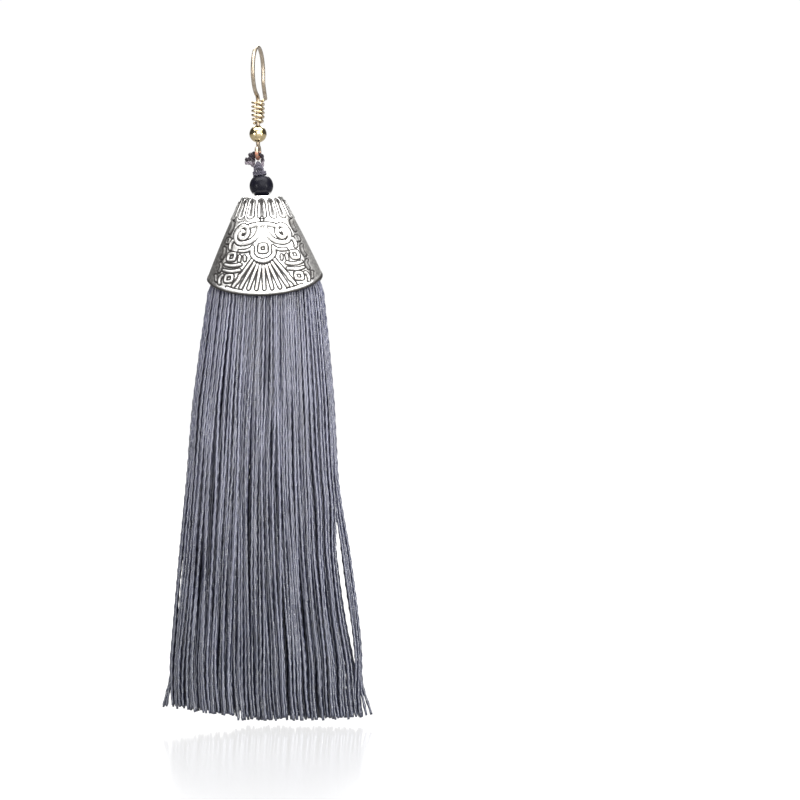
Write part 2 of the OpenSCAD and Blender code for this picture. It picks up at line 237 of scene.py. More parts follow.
soft_light("front_light", (250.0, -610.0, 220.0), (67.0, 22.0), 960.0, 620.0, 9.0)
soft_light("left_strip", (-430.0, -420.0, -50.0), (90.0, -46.0), 130.0, 200.0, 1.5)
soft_light("right_strip", (470.0, -380.0, -50.0), (90.0, 51.0), 90.0, 120.0, 1.1)
soft_light("top_light", (30.0, -120.0, 430.0), (15.0, 0.0), 900.0, 340.0, 8.0)
soft_light("back_light", (0.0, 520.0, 420.0), (47.0, 180.0), 500.0, 340.0, 6.0)

# Ear wire: one length of round brass wire, thinly gilt and polished, bent into an arch for
# the ear, a kicked tail, a straight shank and an eye. Low in the eye the gilding is painted
# copper in spots, as painted shade on the eye's inner side; its gold is painted darker than
# the coil's and the ball's, as painted shade for the darker surroundings the wire reflects.
WIRE_R = 0.35
WIRE_STEP = 0.09
WIRE_YAW = np.radians(10.0)
ARCH_R = 4.2
ARCH_Z = WIRE_R - ARCH_R
FRONT_TURN = 258.0
BACK_LEG = 0.9
TAIL_BEND_R = 2.5
TAIL_ANGLE = 35.0
TAIL_LEN = 2.6
EYE_R = 1.1
EYE_BEND_R = 0.6
EYE_OPEN = 40.0
COPPER_SHADE_FROM, COPPER_SHADE_TO = -17.3, -18.2
COPPER = (0.46, 0.2, 0.13, 1.0)
wire_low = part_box("ear_hook")[0]
eye_z = wire_low[2] / MM + EYE_R + WIRE_R
front_lean = np.radians(270.0 - FRONT_TURN)
front_bend_r = -ARCH_R * np.cos(np.radians(FRONT_TURN)) / (1 - np.sin(front_lean))
shank_z = ARCH_Z + ARCH_R * np.sin(np.radians(FRONT_TURN)) - front_bend_r * np.cos(front_lean)
eye_rise = np.sqrt(EYE_R ** 2 + 2 * EYE_BEND_R * EYE_R)
eye_bend_z = eye_z + eye_rise
eye_join = np.degrees(np.arctan2(eye_rise, EYE_BEND_R))
back_way = np.array([np.sin(WIRE_YAW), np.cos(WIRE_YAW), 0.0])
side_way = np.array([np.cos(WIRE_YAW), -np.sin(WIRE_YAW), 0.0])
up_way = np.array([0.0, 0.0, 1.0])


def bend(centre, radius, start, stop, steps):
    """Arc in a plane: centre plus radius times cosine and sine of evenly spaced angles."""
    turn = np.radians(np.linspace(start, stop, steps))
    return np.column_stack([centre[0] + radius * np.cos(turn), centre[1] + radius * np.sin(turn)])


def respaced(path, step):
    """The path at even distances: each point found by its length along the joined points,
    after points that repeat are dropped."""
    keep = np.concatenate([[True], np.linalg.norm(np.diff(path, axis=0), axis=1) > 1e-6])
    path = path[keep]
    run = np.concatenate([[0.0], np.cumsum(np.linalg.norm(np.diff(path, axis=0), axis=1))])
    even = np.linspace(0.0, run[-1], max(2, int(np.ceil(run[-1] / step)) + 1))
    return np.column_stack([np.interp(even, run, path[:, axis]) for axis in range(path.shape[1])])


def headings(path, ring=False):
    """Unit directions along a path: each from the point before to the point after."""
    if ring:
        steps = np.roll(path, -1, axis=0) - np.roll(path, 1, axis=0)
    else:
        steps = np.gradient(path, axis=0)
    return steps / np.linalg.norm(steps, axis=1)[:, None]


def squared(guide, along):
    """The guide directions made square to the headings and of unit length."""
    side = guide - np.sum(guide * along, axis=1)[:, None] * along
    return side / np.linalg.norm(side, axis=1)[:, None]


def tube(path, radius, guide, sides, ring=False, spin=None, outline=None):
    """Closed tube along a path: point plus radius times cosine of the angle along the guide
    and sine of it across. spin turns each row, outline gives each angle's share of the
    radius. Returns points, quads, fans and the corner pairs of turn and length."""
    rows = len(path)
    along = headings(path, ring)
    first = squared(np.broadcast_to(guide, path.shape), along)
    second = np.cross(along, first)
    turn = 2 * np.pi * np.arange(sides)[None, :] / sides
    share = np.ones(sides) if outline is None else outline
    swing = turn + (0.0 if spin is None else spin[:, None])
    reach = np.broadcast_to(radius, rows)[:, None] * share[None, :]
    points = (path[:, None, :]
              + (reach * np.cos(swing))[..., None] * first[:, None, :]
              + (reach * np.sin(swing))[..., None] * second[:, None, :]).reshape(-1, 3)
    row = np.arange(rows if ring else rows - 1)[:, None]
    side = np.arange(sides)[None, :]
    low, high = row * sides, (row + 1) % rows * sides
    near, far = side, (side + 1) % sides
    quads = np.stack([low + near, low + far, high + far, high + near], axis=-1).reshape(-1, 4)
    gaps = np.linalg.norm(np.roll(path, -1, axis=0) - path, axis=1)
    run = np.concatenate([[0.0], np.cumsum(gaps)])
    flat = np.broadcast_to(side, (len(row), sides))
    start, stop = (np.broadcast_to(v, flat.shape) for v in (run[row], run[row + 1]))
    pairs = [(flat, start), (flat + 1, start), (flat + 1, stop), (flat, stop)]
    uv = np.stack([np.stack([u / sides, v], axis=-1) for u, v in pairs], axis=2).reshape(-1, 2)
    if ring:
        return points, quads, no_fans, uv
    poles = np.array([path[0], path[-1]])
    tip, end, last = len(points), len(points) + 1, (rows - 1) * sides
    near, far = side[0], (side[0] + 1) % sides
    fans = np.concatenate([
        np.column_stack([np.full(sides, tip), far, near]),
        np.column_stack([np.full(sides, end), last + near, last + far]),
    ])
    fan_uv = np.zeros((len(fans) * 3, 2))
    fan_uv[len(fans) * 3 // 2:, 1] = run[rows - 1]
    return np.concatenate([points, poles]), quads, fans, np.concatenate([uv, fan_uv])


def joined(parts):
    """Several lots of points, quads, fans and corner pairs as one."""
    first = np.cumsum([0] + [len(points) for points, _, _, _ in parts])
    quads = np.concatenate([part[1] + at for part, at in zip(parts, first)])
    fans = np.concatenate([part[2] + at for part, at in zip(parts, first)])
    quad_uv = [part[3][:4 * len(part[1])] for part in parts]
    fan_uv = [part[3][4 * len(part[1]):] for part in parts]
    return np.concatenate([part[0] for part in parts]), quads, fans, np.concatenate(quad_uv + fan_uv)


def round_ends(path, radius):
    """Radius of each row of a wire whose two ends are rounded off: the root of one minus the
    square of how far the row lies into the last radius of length."""
    run = np.concatenate([[0.0], np.cumsum(np.linalg.norm(np.diff(path, axis=0), axis=1))])
    inset = np.minimum(run, run[-1] - run)
    depth = 1 - np.clip(inset / radius, 0.0, 1.0)
    return radius * np.sqrt(np.clip(1 - depth ** 2, 0.02, 1.0))


tail_bend_at = np.array([ARCH_R + TAIL_BEND_R, ARCH_Z - BACK_LEG])
tail_turn = np.radians(TAIL_ANGLE)
tail_top = tail_bend_at - TAIL_BEND_R * np.array([np.cos(tail_turn), np.sin(tail_turn)])
tail_end = tail_top + TAIL_LEN * np.array([np.sin(tail_turn), -np.cos(tail_turn)])
wire_flat = np.concatenate([
    [tail_end],
    bend(tail_bend_at, TAIL_BEND_R, 180.0 + TAIL_ANGLE, 180.0, 30),
    bend((0.0, ARCH_Z), ARCH_R, 0.0, FRONT_TURN, 180),
    bend((-front_bend_r, shank_z), front_bend_r, 90.0 - np.degrees(front_lean), 0.0, 30),
    bend((EYE_BEND_R, eye_bend_z), EYE_BEND_R, 180.0, 180.0 + eye_join, 30),
    bend((0.0, eye_z), EYE_R, 360.0 + eye_join, 90.0 + EYE_OPEN, 120),
])
wire_flat = respaced(wire_flat, WIRE_STEP)
wire_path = wire_flat[:, :1] * back_way + wire_flat[:, 1:] * up_way


def gilt(name, gold, shade, roughness, copper_shade_heights=None):
    """Thin gilding over drawn brass: gold that drifts towards its darker shade in soft
    patches, fine drawing marks, and copper spots of painted shade that grow between two heights."""
    material, mm = open_material(name)
    patches = mm.grain(1.1, 4.0).within(0.35, 0.7)
    colour = patches.tint(gold, shade)
    if copper_shade_heights is not None:
        # copper spots between the two heights are painted shade on the eye's inner side
        copper_shade = mm.split(2).within(copper_shade_heights[0], copper_shade_heights[1]) * mm.grain(2.3).within(0.3, 0.55)
        colour = copper_shade.tint(colour, COPPER)
    marks = mm.stretched(4.0, 4.0, 1.0).grain(1.2, 2.0)
    return close_material(
        material, Base_Color=colour, Metallic=1.0, Roughness=marks * 0.1 + roughness,
        Normal=marks.bump(0.003, 0.25))


# the wire's gold is set darker than the coil's and the ball's, as painted shade for the darker
# surroundings it reflects
gilt_wire_painted_darker = gilt("gilding_on_wire_painted_darker", (0.38, 0.325, 0.26, 1.0), (0.25, 0.2, 0.145, 1.0), 0.34,
                 copper_shade_heights=(COPPER_SHADE_FROM, COPPER_SHADE_TO))
ear_wire = new_piece("ear_wire_bent", *tube(wire_path, round_ends(wire_path, WIRE_R), side_way, 20)[:3],
                     gilt_wire_painted_darker)
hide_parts("ear_hook")
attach(ear_wire, "ear_wire")

# Coil: finer gilt wire wound round the shank. It starts on the bend above, closes in on the
# shank at its last turns, and sits on the ball. Both ends are clipped and rounded.
SHANK_PLAY = 0.05
COIL_WIRE_R = 0.26
COIL_R = 0.92
COIL_LOW_R = WIRE_R + SHANK_PLAY + COIL_WIRE_R
COIL_TAPER = 0.3
COIL_TURNS = 5.5
coil_box = [corner[2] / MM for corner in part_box("hook_coil")]
coil_low, coil_high = coil_box[0] + COIL_WIRE_R, coil_box[1] - COIL_WIRE_R
coil_share = np.linspace(0.0, 1.0, 320)
coil_reach = COIL_R - (COIL_R - COIL_LOW_R) * np.clip((coil_share - 1 + COIL_TAPER) / COIL_TAPER, 0, 1)
coil_angle = 2 * np.pi * COIL_TURNS * coil_share
coil_path = np.column_stack([
    coil_reach * np.cos(coil_angle),
    coil_reach * np.sin(coil_angle),
    coil_high + (coil_low - coil_high) * coil_share,
])
gilt_coil = gilt("pale_gilding_on_coil", (0.56, 0.46, 0.32, 1.0), (0.32, 0.24, 0.13, 1.0), 0.24)
coil = new_piece("coil_wound", *tube(coil_path, round_ends(coil_path, COIL_WIRE_R), up_way, 12)[:3],
                 gilt_coil)
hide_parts("hook_coil")
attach(coil, "ear_wire")

# Ball: a bored brass ball, gilt and brightly polished, that the shank runs through. The
# edges of the bore are broken with a small round.
BALL_EDGE = 0.09
ball_box = np.array(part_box("hook_ball")) / MM
ball_at = ball_box.mean(axis=0)
ball_r = (ball_box[1][0] - ball_box[0][0]) / 2


def bored_ball(centre, radius, bore, edge, axis, sides=72, rows=40):
    """Ring of a turned profile round an axis: the sphere's arc between the bore's edges, a
    quarter round of the edge's size at each end, and the straight bore, closed on itself."""
    reach = bore + edge
    lip = np.arccos(reach / radius)
    arc = np.linspace(lip, -lip, rows)
    outer = np.column_stack([radius * np.cos(arc), radius * np.sin(arc)])
    drop = outer[0, 1] - edge
    quarter = np.linspace(0.0, np.pi / 2, 6)[1:]
    lower = np.column_stack([reach - edge * np.sin(quarter), -drop - edge * np.cos(quarter)])
    upper = lower[::-1] * [1.0, -1.0]
    profile = np.concatenate([outer, lower, upper[:-1]])
    side = np.cross(axis, back_way)
    side = side / np.linalg.norm(side)
    front = np.cross(axis, side)
    turn = 2 * np.pi * np.arange(sides) / sides
    out = np.cos(turn)[:, None] * side + np.sin(turn)[:, None] * front
    points = (centre + profile[:, :1, None] * out[None] + profile[:, 1:, None] * axis).reshape(-1, 3)
    row, step = np.arange(len(profile))[:, None], np.arange(sides)[None, :]
    below, beside = (row + 1) % len(profile), (step + 1) % sides
    quads = [row * sides + step, below * sides + step, below * sides + beside, row * sides + beside]
    return points, np.stack(quads, axis=-1).reshape(-1, 4), no_fans


gilt_ball = gilt("bright_gilding_on_ball", (0.5, 0.41, 0.25, 1.0), (0.32, 0.245, 0.11, 1.0), 0.1)
ball = new_piece("ball_turned", *bored_ball(ball_at, ball_r, WIRE_R + SHANK_PLAY, BALL_EDGE, up_way),
                 gilt_ball)
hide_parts("hook_ball")
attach(ball, "ear_wire")

# Hanging loop: a short ring of two-ply viscose cord through the eye, closed with a tight
# knot against its left side, whose other end is wound up small beside the eye. The cord is
# painted dark high up, round the eye and the knots, as painted shade, and paler below, where
# it carries the tassel.
CORD_R = 0.35
CORD_GAP = 0.1
CORD_STEP = 0.06
LOOP_R = WIRE_R + CORD_GAP + CORD_R
SIDE_KNOT_R = 0.6
SIDE_KNOT_H = 1.5
SIDE_KNOT_OFF = 0.05
SIDE_KNOT_TILT = np.radians(12.0)
SIDE_KNOT_FROM, SIDE_KNOT_TO = -0.2, 2.15
TUCKED_END = 0.14
END_KNOT_R = 0.33
END_KNOT_UP = 0.4
END_KNOT_HALF_H = 0.62
END_KNOT_FROM, END_KNOT_TO = -0.1, 2.3
CORD_FIBRES = 9.0
PALE_FROM, PALE_TO = -19.0, -19.9
pivot_z = eye_z - EYE_R
bight_z = pivot_z - WIRE_R - CORD_GAP - CORD_R


def twisted(path, radius, twists, guide, plies=2, sides=10, ring=False):
    """Cord of plies wound round a path: each ply's middle circles the path at a share of the
    radius, the given number of times over the length, and carries a tube of its own."""
    offset, ply_r = 0.47 * radius, 0.56 * radius
    along = headings(path, ring)
    first = squared(np.broadcast_to(guide, path.shape), along)
    second = np.cross(along, first)
    turn = 2 * np.pi * twists * np.arange(len(path)) / (len(path) - (0 if ring else 1))
    parts = []
    for ply in range(plies):
        angle = turn + 2 * np.pi * ply / plies
        out = np.cos(angle)[:, None] * first + np.sin(angle)[:, None] * second
        middle = path + offset * out
        reach = ply_r if ring else round_ends(middle, ply_r)
        parts.append(tube(middle, reach, out, sides, ring))
    return joined(parts)


def cord_finish(name, pale, deep):
    """Viscose yarn: fine fibres along each ply as stripes over the turn and the length, a
    little fuzz, and colour that drifts along the yarn and pales between two heights, darker above them as
    painted shade."""
    material, mm = open_material(name)
    strip = mm.make("ShaderNodeTexCoord", {}, {}, "UV")
    wave = strip.split(0) * CORD_FIBRES + strip.split(1) * 0.9 + mm.grain(3.0) * 0.7
    fibre = wave.maths("SINE", wave * (2 * np.pi)) * 0.5 + 0.5
    drift = mm.grain(0.9, 2.0).within(0.3, 0.7)
    # above PALE_FROM the cord is painted dark: painted shade round the eye and the knots
    shade = fibre * 0.1 + drift * 0.08 + mm.split(2).within(PALE_FROM, PALE_TO) * 0.82
    colour = shade.tint(deep, pale)
    return close_material(
        material, Base_Color=colour, Roughness=0.62 - fibre * 0.14, Normal=fibre.bump(0.012, 0.7),
        Specular_IOR_Level=0.15, Sheen_Weight=0.03, Sheen_Roughness=0.4)


def woven(parts, finish):
    """The joined parts in the order that new_piece takes them."""
    points, quads, fans, uv = joined(parts)
    return points, quads, fans, finish, uv


loop_flat = respaced(np.concatenate([
    bend((0.0, pivot_z), LOOP_R, 0.0, 180.0, 60),
    bend((0.0, bight_z), LOOP_R, 180.0, 360.0, 60),
    [[LOOP_R, pivot_z]],
]), CORD_STEP)[:-1]
loop_path = loop_flat[:, :1] * side_way + loop_flat[:, 1:] * up_way
coil_up = np.cos(SIDE_KNOT_TILT) * up_way + np.sin(SIDE_KNOT_TILT) * back_way
coil_back = np.cross(coil_up, side_way)
side_knot_at = (-(LOOP_R + SIDE_KNOT_R + SIDE_KNOT_OFF) * side_way
                + (pivot_z + bight_z) / 2 * up_way)
wind = np.linspace(SIDE_KNOT_FROM, SIDE_KNOT_TO, 130)
wind_share = (wind - wind[0]) / (wind[-1] - wind[0])
tucked = np.clip((wind_share - (1 - TUCKED_END)) / TUCKED_END, 0, 1)
wind_r = SIDE_KNOT_R * (1 - 0.45 * tucked)
side_knot_path = (side_knot_at
                  + (wind_r * np.cos(2 * np.pi * wind))[:, None] * side_way
                  + (wind_r * np.sin(2 * np.pi * wind))[:, None] * coil_back
                  + ((0.5 - wind_share) * SIDE_KNOT_H)[:, None] * coil_up)
end_wind = np.linspace(END_KNOT_FROM, END_KNOT_TO, 120)
end_rise = np.linspace(END_KNOT_HALF_H, -END_KNOT_HALF_H, 120)
end_knot_path = (-(LOOP_R + END_KNOT_R) * side_way + (pivot_z + END_KNOT_UP) * up_way
                 + (END_KNOT_R * np.cos(2 * np.pi * end_wind))[:, None] * side_way
                 + (1.3 * END_KNOT_R * np.sin(2 * np.pi * end_wind))[:, None] * back_way
                 + end_rise[:, None] * up_way)
loop_cord = cord_finish("mauve_grey_loop_cord", (0.19, 0.165, 0.19, 1.0), (0.003, 0.001, 0.003, 1.0))
loop = new_piece("hanging_loop", *woven([
    twisted(loop_path, CORD_R, 4, back_way, ring=True),
    twisted(respaced(side_knot_path, CORD_STEP), 0.93 * CORD_R, 6, coil_up),
    twisted(respaced(end_knot_path, CORD_STEP), 0.84 * CORD_R, 5, up_way),
], loop_cord))
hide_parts("cord_loop")
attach(loop, "loop")

# Knot and neck: the tassel's own cord comes up through the bead, makes a small bight that
# hangs in the loop, and is whipped with thin cord above the bead. One end lies over the
# whipping on the right, and two hitches lie in front of the neck.
WHIP_R = 0.19
WHIP_PITCH = 0.33
WHIP_TURNS = 2.3
WHIP_START = 1.44
TAIL_R = 0.2
TAIL_START, TAIL_FALL = 1.0, 1.15
TAIL_TURN, TAIL_SLANT = 0.75, 0.2
HITCH_R = 0.23
HITCH_ACROSS, HITCH_HALF_W = 0.12, 0.72
HITCH_FRONT, HITCH_BULGE = 0.78, 0.6
HITCH_RISES = ((1.15, 0.0), (0.68, 0.06))
LEGS_DRAWN_IN = 0.36
NECK_R = 0.65
NECK_START = 1.5
BIGHT_R = 2 * CORD_R + CORD_GAP
WRAP_OUT = 1.2
bead_box = np.array(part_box("bead")) / MM
bead_at = bead_box.mean(axis=0)
bead_r = (bead_box[1][0] - bead_box[0][0]) / 2
bight_at = bight_z * up_way
neck_down = (bead_at - bight_at) / np.linalg.norm(bead_at - bight_at)
neck_side = np.cross(neck_down, back_way)
neck_end = (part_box("cord_knot")[0][2] / MM - bight_z) / neck_down[2]


def down_neck(side, back, depth):
    """Points beside, behind and below the bight, along the leaning neck."""
    return (bight_at + np.multiply.outer(side, neck_side) + np.multiply.outer(back, back_way)
            + np.multiply.outer(depth, neck_down))


arch = np.linspace(0.0, np.pi, 50)
leg = np.linspace(0.0, 1.0, 22)[1:]
leg_in = BIGHT_R - LEGS_DRAWN_IN * leg ** 2 * (3 - 2 * leg)
bight_back = np.concatenate([leg_in[::-1], BIGHT_R * np.cos(arch), -leg_in])
bight_depth = np.concatenate([BIGHT_R + leg[::-1], BIGHT_R * (1 - np.sin(arch)), BIGHT_R + leg])
bight_path = respaced(down_neck(np.zeros(len(bight_back)), bight_back, bight_depth), CORD_STEP)
whip = 2 * np.pi * np.linspace(0.0, WHIP_TURNS, 150)
whip_depth = WHIP_START + WHIP_PITCH * whip / (2 * np.pi)
whip_path = down_neck(-(WRAP_OUT - WHIP_R) * np.sin(whip), (WRAP_OUT - WHIP_R) * np.cos(whip), whip_depth)
tail = np.linspace(0.0, 1.0, 40)
tail_out = WRAP_OUT + WHIP_R - 0.1 - 0.5 * (2 * tail - 1) ** 2
tail_turn = TAIL_TURN - TAIL_SLANT * tail
tail_path = down_neck(tail_out * np.sin(tail_turn), -tail_out * np.cos(tail_turn),
                      TAIL_START + TAIL_FALL * tail)
hitch = np.linspace(0.0, np.pi, 60)
hitch_across = HITCH_ACROSS + HITCH_HALF_W * np.cos(hitch)
hitch_back = -HITCH_FRONT - HITCH_BULGE * np.sin(hitch) ** 2
hitch_paths = [down_neck(hitch_across, hitch_back - proud, NECK_START - rise * np.sin(hitch))
               for rise, proud in HITCH_RISES]
neck_depth = np.linspace(NECK_START, neck_end, 70)
neck_path = down_neck(0.0 * neck_depth, 0.0 * neck_depth, neck_depth)
knot_cord = cord_finish("lilac_grey_knot_cord", (0.085, 0.08, 0.102, 1.0), (0.003, 0.002, 0.004, 1.0))
knot = new_piece("knot_and_neck", *woven([
    twisted(bight_path, CORD_R, 3.5, neck_side),
    twisted(respaced(whip_path, CORD_STEP), WHIP_R, 19, neck_down, sides=8),
    twisted(respaced(tail_path, 0.05), TAIL_R, 2.5, neck_side, sides=8),
    *[twisted(respaced(hitch_path, CORD_STEP), HITCH_R, 4, neck_down, sides=8)
      for hitch_path in hitch_paths],
    twisted(neck_path, NECK_R, 2.5, back_way, plies=3, sides=12),
], knot_cord))
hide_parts("cord_knot")
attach(knot, "drop")

# Bead: a round bead turned in black plastic and left matte. It is drilled for the neck that
# runs through it, and the edges of the hole are broken with a small round.
BEAD_EDGE = 0.12
black_matte, bead_mm = open_material("black_matte_bead")
bead_grain = bead_mm.grain(5.0, 5.0)
bead_rub = bead_mm.grain(0.8).within(0.45, 0.75)
close_material(
    black_matte, Base_Color=bead_rub.tint((0.004, 0.004, 0.007, 1.0), (0.009, 0.009, 0.014, 1.0)),
    Roughness=bead_grain * 0.14 + 0.24, Normal=bead_grain.bump(0.004, 0.3), Specular_IOR_Level=0.1)
bead = new_piece("bead_drilled", *bored_ball(bead_at, bead_r, NECK_R + CORD_GAP, BEAD_EDGE, -neck_down),
                 black_matte)
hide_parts("bead")
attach(bead, "drop")

# Cap: an oval bell cast in zinc alloy with its ornament raised, silver plated, dipped dark
# and polished back, so that the dark stays beside the lines and on the duller flanks. Painted
# shade adds to that dark on the flanks, on the left side and along the rim's lower edge. The
# bead sits in the hole of its flat top.
CAP_TOP_W, CAP_RIM_W = 6.9, 20.0
CAP_TOP_DEPTH, CAP_RIM_DEPTH = 5.8, 10.6
CAP_SIDE_H, CAP_FRONT_H = 14.0, 17.4
CAP_BELLY = 0.2
CAP_WALL = 0.9
CAP_HOLE_R = 1.15
CAP_LEAN = np.radians(2.2)
OVAL_POWER = 2.3
RIM_POWER = 0.7
RIM_BAND_H = 0.7
RELIEF_H = 0.3
LINE_R = 0.3
GROOVE = 0.1
PETALS = 16
RAYS = 9
PETAL_TOP, PETAL_FOOT = 1.1, 3.45
PETAL_TOP_R, PETAL_GROWTH = 0.4, 0.2
PETAL_SHIFT = np.radians(5.0)
RIM_ROUND = 0.22
TOP_ROUND = 0.3
MIDDLE_FADE_DEPTH, MIDDLE_FADE_H, MIDDLE_FADE_W = 6.5, 2.0, 2.1
NO_LINE = 9.0
FACE_COLUMNS, FLANK_COLUMNS, WALL_ROWS = 164, 38, 200
FACE_CORNER = 0.88
SEAT_PLAY = 0.05
bead_seat = np.sqrt(bead_r ** 2 - CAP_HOLE_R ** 2) + SEAT_PLAY


def cap_half(depth):
    """Half width and half depth of the cap at a distance below its top: straight from the
    top's to the rim's, plus a belly of four times the share of the height times the rest."""
    share = depth / CAP_SIDE_H
    belly = 4 * CAP_BELLY * share * (1 - share)
    half_w = (CAP_TOP_W + (CAP_RIM_W - CAP_TOP_W) * share) / 2 + belly
    half_d = (CAP_TOP_DEPTH + (CAP_RIM_DEPTH - CAP_TOP_DEPTH) * share) / 2 + belly
    return half_w, half_d


def rim_depth(across):
    """Height of the cap at a share of its half width: the sides' plus what the front has
    more, times a power of one minus the square of the share."""
    rest = np.clip(1 - across ** 2, 0.0, 1.0)
    return CAP_SIDE_H + (CAP_FRONT_H - CAP_SIDE_H) * rest ** RIM_POWER


def oval_rest(share):
    """The other share of a squarish oval: both shares to the oval's power add up to one."""
    return np.clip(1 - np.abs(share) ** OVAL_POWER, 0.0, 1.0) ** (1 / OVAL_POWER)


def hung(x, y, depth, lean):
    """Points of the drop: across, behind and below the cap's top, turned by the lean about
    the middle of the bead."""
    below = bead_seat + depth
    return bead_at + np.stack([
        x * np.cos(lean) + below * np.sin(lean),
        y + 0.0 * x,
        x * np.sin(lean) - below * np.cos(lean),
    ], axis=-1)


def swirl(at, size, start, stop, steps, first=1.0):
    """Part of an oval in shares of the face: the middle plus the size times cosine and sine
    of the angle, growing from a first share of the size to all of it."""
    turn = np.radians(np.linspace(start, stop, steps + 1))
    grow = np.linspace(first, 1.0, steps + 1)
    return np.column_stack([at[0] + grow * size[0] * np.cos(turn), at[1] + grow * size[1] * np.sin(turn)])


def bow(a, b, c, steps):
    """Curve from a to c pulled towards b: the squares of the share and of the rest, and
    twice their product for the middle."""
    way = np.linspace(0.0, 1.0, steps + 1)[:, None]
    return (1 - way) ** 2 * np.array(a) + 2 * way * (1 - way) * np.array(b) + way ** 2 * np.array(c)


def squared_ring(at, half_u, half_v):
    """A small ring that is nearly square, closed on itself."""
    turn = np.linspace(0.0, 2 * np.pi, 17)
    swell = 1 / np.maximum(np.abs(np.cos(turn)), np.abs(np.sin(turn))) ** 0.6
    return np.column_stack([at[0] + half_u * swell * np.cos(turn), at[1] + half_v * swell * np.sin(turn)])


spiral_foot = (-0.5, 0.474)
side_lines = [
    (np.concatenate([swirl((-0.5, 0.374), (0.2, 0.1), 650.0, 90.0, 44, 0.2),
                     bow(spiral_foot, (-0.16, 0.479), (-0.09, 0.33), 12)[1:]]), 1.0),
    (bow((-0.5, 0.548), (-0.3, 0.56), (-0.22, 0.51), 8), 0.55),
    (squared_ring((-0.64, 0.6), 0.07, 0.034), 0.62),
    (np.array([[-0.47, 0.6], [-0.47, 0.645]]), 0.6),
    (np.array([[-0.37, 0.605], [-0.36, 0.64]]), 0.55),
    (bow((-0.44, 0.68), (-0.58, 0.7), (-0.72, 0.674), 6), 0.7),
    (bow((-0.44, 0.735), (-0.58, 0.755), (-0.72, 0.729), 6), 0.7),
    (squared_ring((-0.6, 0.812), 0.06, 0.032), 0.62),
    (bow((-0.72, 0.78), (-0.78, 0.8), (-0.74, 0.86), 6), 0.6),
    (bow((-0.42, 0.79), (-0.4, 0.83), (-0.46, 0.86), 6), 0.6),
    (bow((-0.87, 0.26), (-0.82, 0.3), (-0.86, 0.36), 6), 0.5),
    (squared_ring((-0.82, 0.44), 0.032, 0.022), 0.42),
    (bow((-0.85, 0.51), (-0.79, 0.55), (-0.84, 0.61), 6), 0.5),
    (bow((-0.83, 0.66), (-0.77, 0.69), (-0.81, 0.74), 6), 0.5),
    (np.array([[-0.845, 0.775], [-0.81, 0.83]]), 0.5),
    (bow((-0.7, 0.44), (-0.76, 0.47), (-0.72, 0.52), 6), 0.6),
    (bow((-0.6, 0.9), (-0.5, 0.93), (-0.36, 0.945), 6), 0.45),
]
middle_lines = [
    (bow((-0.34, 0.305), (0.0, 0.27), (0.34, 0.305), 12), 0.9),
    (squared_ring((0.0, 0.53), 0.075, 0.034), 0.8),
    (swirl((0.0, 0.548), (0.235, 0.105), 192.0, -12.0, 24), 1.0),
    (np.array([[0.0, 0.235], [0.0, 0.245]]), 0.7),
]
for ray in np.linspace(-1.0, 1.0, RAYS):
    ray_head = np.array([0.22 * ray, 0.705 - 0.06 * ray ** 2])
    ray_foot = np.array([0.5 * ray, (rim_depth(0.5 * ray) - 1.8 * RIM_BAND_H) / CAP_FRONT_H])
    middle_lines.append((np.array([ray_head, ray_foot]), 0.72))
face_lines = middle_lines + side_lines + [(line * [-1.0, 1.0], wide) for line, wide in side_lines]


def line_distance(x, depth, lines):
    """Distance of each point from the nearest edge of the raised lines, less than zero on
    them: the distance from the nearest stretch of a line, less the line's half width."""
    nearest = np.full(x.shape, NO_LINE)
    for line, wide in lines:
        spots = np.column_stack([line[:, 0] * cap_half(line[:, 1] * CAP_FRONT_H)[0],
                                 line[:, 1] * CAP_FRONT_H])
        for a, b in zip(spots[:-1], spots[1:]):
            step = b - a
            share = ((x - a[0]) * step[0] + (depth - a[1]) * step[1]) / max(step @ step, 1e-9)
            share = np.clip(share, 0.0, 1.0)
            off = np.hypot(x - a[0] - share * step[0], depth - a[1] - share * step[1])
            nearest = np.minimum(nearest, off - wide * LINE_R)
    return nearest


def step_up(value, low, high):
    """Smooth step: three times the square of the share less twice its cube."""
    share = np.clip((value - low) / (high - low), 0.0, 1.0)
    return share * share * (3 - 2 * share)


face_u = np.linspace(-FACE_CORNER, FACE_CORNER, FACE_COLUMNS)
flank_v = np.linspace(-oval_rest(FACE_CORNER), oval_rest(FACE_CORNER), FLANK_COLUMNS)[1:-1]
oval_x = np.concatenate([face_u, oval_rest(flank_v), face_u[::-1], -oval_rest(flank_v)])
oval_y = np.concatenate([-oval_rest(face_u), flank_v, oval_rest(face_u), flank_v[::-1]])
cap_sides = len(oval_x)
wall_share = np.linspace(0.0, 1.0, WALL_ROWS)[:, None]
wall_depth = wall_share * rim_depth(oval_x)[None, :]
half_w, half_d = cap_half(wall_depth)
to_rim = rim_depth(oval_x)[None, :] - wall_depth

line_off = line_distance(half_w * oval_x, wall_depth, face_lines)
line_off[:, np.abs(oval_x) > 0.9] = NO_LINE
oval_turn = np.arctan2(np.sign(oval_y) * np.abs(oval_y) ** (OVAL_POWER / 2),
                       np.sign(oval_x) * np.abs(oval_x) ** (OVAL_POWER / 2))
petal_turn = oval_turn - PETAL_SHIFT * np.sin(2 * oval_turn)
petal_turn = oval_turn - PETAL_SHIFT * np.sin(2 * petal_turn)
petal_phase = (petal_turn - np.pi / 2) * PETALS / (2 * np.pi)
girth = 2 * np.pi * np.sqrt((half_w ** 2 + half_d ** 2) / 2)
petal_x = (petal_phase - np.round(petal_phase))[None, :] * girth / PETALS
petal_h = PETAL_FOOT - PETAL_TOP
petal_share = np.clip((wall_depth - PETAL_TOP) / petal_h, 0.0, 1.0)
petal_r = PETAL_TOP_R + PETAL_GROWTH * petal_share
petal_off = np.hypot(petal_x, wall_depth - PETAL_TOP - petal_share * petal_h) - petal_r

